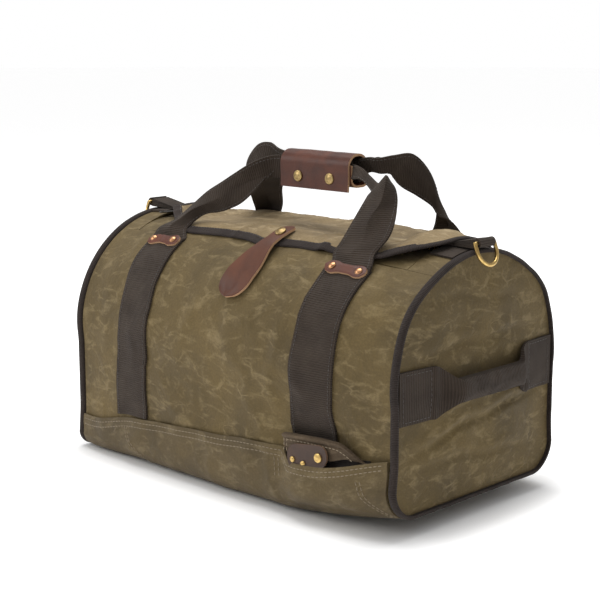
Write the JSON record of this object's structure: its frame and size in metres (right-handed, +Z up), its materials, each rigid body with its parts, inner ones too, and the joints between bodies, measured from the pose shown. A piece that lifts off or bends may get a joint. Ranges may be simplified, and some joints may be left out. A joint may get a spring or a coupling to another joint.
{
  "type": "weekender bag",
  "caption": "Arched canvas weekender bag with two webbing carry handles, a leather grip wrap, a flap over a zipped mouth, end handles and D-rings.",
  "frame": {"origin": "middle of the base, on the surface that the bag stands on", "axes": "+X along the bag, -Y out of the front with the leather pull tab, +Z up"},
  "size_m": [0.494, 0.2775, 0.339],
  "materials": {
    "canvas": "waxed, matt",
    "webbing": "ribbed cotton",
    "binding": "flat tape",
    "leather": "oiled",
    "dark_leather": "oiled",
    "brass": "polished, slightly worn",
    "copper": "polished copper",
    "dark_metal": "blackened"
  },
  "bodies": {
    "bag": {"base_panel": "canvas", "front_panel": "canvas", "back_panel": "canvas", "left_end_panel": "canvas", "right_end_panel": "canvas", "left_end_piping": "binding", "right_end_piping": "binding", "left_top_gusset": "canvas", "right_top_gusset": "canvas", "left_zip_end_webbing": "webbing", "right_zip_end_webbing": "webbing", "left_ring_loop": "webbing", "right_ring_loop": "webbing", "front_left_strap": "webbing", "front_right_strap": "webbing", "back_left_strap": "webbing", "back_right_strap": "webbing", "front_left_patch": "leather", "front_right_patch": "leather", "back_left_patch": "leather", "back_right_patch": "leather", "patch_rivets": "copper", "rivet_burrs": "copper", "zip_stops": "brass", "left_handle_anchors": "webbing", "right_handle_anchors": "webbing", "left_handle_tails": "webbing", "right_handle_tails": "webbing"},
    "front_handle": {"front_handle_grip": "webbing", "front_left_handle_leg": "webbing", "front_right_handle_leg": "webbing"},
    "back_handle": {"back_handle_grip": "webbing", "back_left_handle_leg": "webbing", "back_right_handle_leg": "webbing", "wrap_body": "leather", "wrap_studs": "brass"},
    "wrap_top": {"wrap_flap": "leather", "wrap_snaps": "brass"},
    "flap": {"storm_flap": "canvas", "flap_binding": "binding", "tab_head": "leather", "tab_snap": "brass"},
    "pull_tab": {"tab_paddle": "leather"},
    "front_mouth": {"front_lip": "canvas", "front_zip_tape": "webbing", "front_zip_teeth": "brass"},
    "back_mouth": {"back_lip": "canvas", "back_zip_tape": "webbing", "back_zip_teeth": "brass"},
    "slider": {"zip_slider": "dark_metal"},
    "pull": {"zip_pull": "dark_metal"},
    "left_ring": {"left_d_ring": "brass"},
    "right_ring": {"right_d_ring": "brass"},
    "left_grab": {"left_end_handle": "webbing"},
    "right_grab": {"right_end_handle": "webbing"},
    "pocket_cover": {"pocket_flap": "canvas", "pocket_tab": "dark_leather", "pocket_snaps": "brass"}
  },
  "joints": [
    {"name": "front_handle_fold", "type": "hinge", "parent": "bag", "child": "front_handle", "pos_m": [0, -0.0785, 0.2435], "axis": [1, 0, 0], "range_deg": [0, 130]},
    {"name": "back_handle_fold", "type": "hinge", "parent": "bag", "child": "back_handle", "pos_m": [0, 0.0785, 0.2435], "axis": [-1, 0, 0], "range_deg": [0, 130], "deforming": ["wrap_body", "wrap_studs"]},
    {"name": "wrap_open", "type": "hinge", "parent": "back_handle", "child": "wrap_top", "pos_m": [0.028, 0.016, 0.3378], "axis": [-1, 0, 0], "range_deg": [0, 104], "deforming": ["wrap_flap", "wrap_snaps"]},
    {"name": "storm_flap_open", "type": "hinge", "parent": "bag", "child": "flap", "pos_m": [0, 0.07639, 0.24833], "axis": [-1, 0, 0], "range_deg": [0, 93.6], "deforming": ["storm_flap", "flap_binding"]},
    {"name": "pull_tab_lift", "type": "hinge", "parent": "flap", "child": "pull_tab", "pos_m": [0.02939, -0.07331, 0.25614], "axis": [-1, 0, 0], "range_deg": [0, 95]},
    {"name": "zip_slide", "type": "slide", "parent": "bag", "child": "slider", "axis": [1, 0, 0], "range_m": [0, 0.358]},
    {"name": "zip_pull_swivel", "type": "hinge", "parent": "slider", "child": "pull", "pos_m": [-0.18, 0, 0.2588], "axis": [0, 0, 1], "range_deg": [0, 40]},
    {"name": "front_lip_open", "type": "hinge", "parent": "bag", "child": "front_mouth", "pos_m": [0, -0.0625, 0.242], "axis": [-1, 0, 0], "range_deg": [0, 85]},
    {"name": "back_lip_open", "type": "hinge", "parent": "bag", "child": "back_mouth", "pos_m": [0, 0.0625, 0.242], "axis": [1, 0, 0], "range_deg": [0, 85]},
    {"name": "left_ring_swing", "type": "hinge", "parent": "bag", "child": "left_ring", "pos_m": [-0.233, 0, 0.2655], "axis": [0, 1, 0], "range_deg": [0, 130]},
    {"name": "right_ring_swing", "type": "hinge", "parent": "bag", "child": "right_ring", "pos_m": [0.233, 0, 0.2655], "axis": [0, -1, 0], "range_deg": [0, 130]},
    {"name": "left_end_handle_swing", "type": "hinge", "parent": "bag", "child": "left_grab", "pos_m": [-0.2292, 0, 0.134], "axis": [0, 1, 0], "range_deg": [-25, 25]},
    {"name": "right_end_handle_swing", "type": "hinge", "parent": "bag", "child": "right_grab", "pos_m": [0.2292, 0, 0.134], "axis": [0, -1, 0], "range_deg": [-25, 25]},
    {"name": "pocket_flap_open", "type": "hinge", "parent": "bag", "child": "pocket_cover", "pos_m": [0.098, -0.13496, 0.084], "axis": [-0.9841, -0.0684, 0.164], "range_deg": [0, 85]}
  ],
  "couplings": [
    {"joint": "back_handle_fold", "follows": "front_handle_fold", "ratio": 1},
    {"joint": "wrap_open", "follows": "front_handle_fold", "ratio": 0.8},
    {"joint": "storm_flap_open", "follows": "front_handle_fold", "ratio": 0.72},
    {"joint": "front_lip_open", "follows": "zip_slide", "rad_per_m": 4.1435},
    {"joint": "back_lip_open", "follows": "zip_slide", "rad_per_m": 4.1435}
  ]
}
